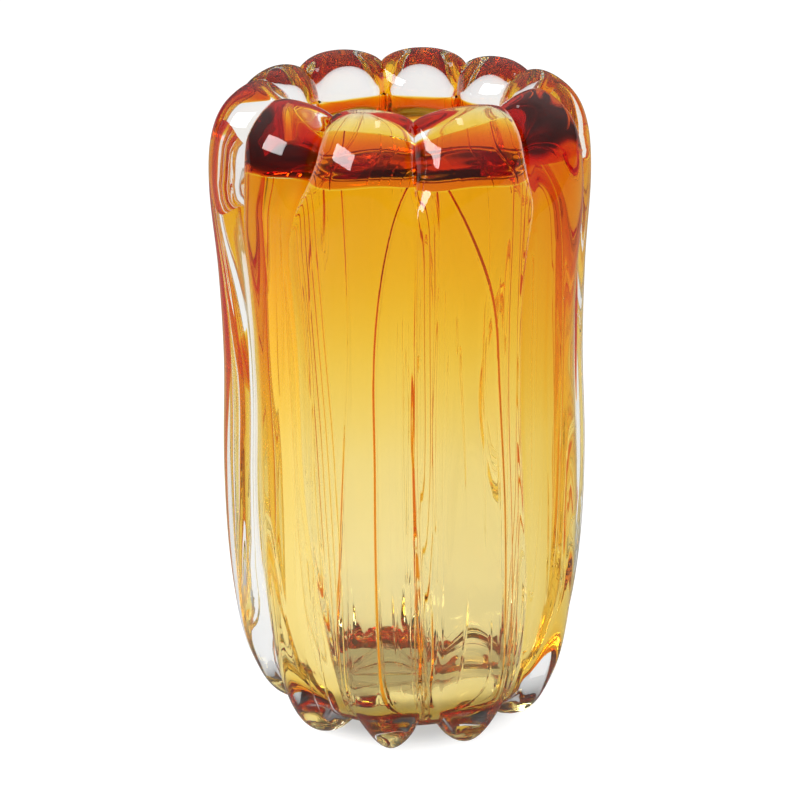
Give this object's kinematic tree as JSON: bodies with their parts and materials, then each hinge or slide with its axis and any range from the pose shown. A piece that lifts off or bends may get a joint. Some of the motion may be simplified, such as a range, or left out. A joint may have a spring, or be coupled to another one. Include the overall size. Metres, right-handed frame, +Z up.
{
  "type": "ribbed cased glass vase",
  "caption": "Round vase of clear glass over an amber lining. Fat upright ribs end in toes that it stands on and roll in over the mouth. Holds flowers and water.",
  "frame": {"origin": "on the vertical axis, in the plane that the toes stand on", "axes": "+Z up along the vase's axis, out of the mouth; +X through the middle of one rib, -Y through the groove between two"},
  "size_m": [0.16, 0.154, 0.285],
  "materials": {
    "clear_glass": "fire-polished, clear",
    "amber_glass": "fire-polished, transparent amber",
    "red_amber_glass": "fire-polished, deep red-orange amber"
  },
  "bodies": {
    "root": {"clear_casing": "clear_glass", "amber_bubble": "amber_glass", "amber_lip_wrap": "red_amber_glass", "rib_01": "clear_glass", "rib_02": "clear_glass", "rib_03": "clear_glass", "rib_04": "clear_glass", "rib_05": "clear_glass", "rib_06": "clear_glass", "rib_07": "clear_glass", "rib_08": "clear_glass", "rib_09": "clear_glass", "rib_10": "clear_glass"}
  },
  "joints": []
}
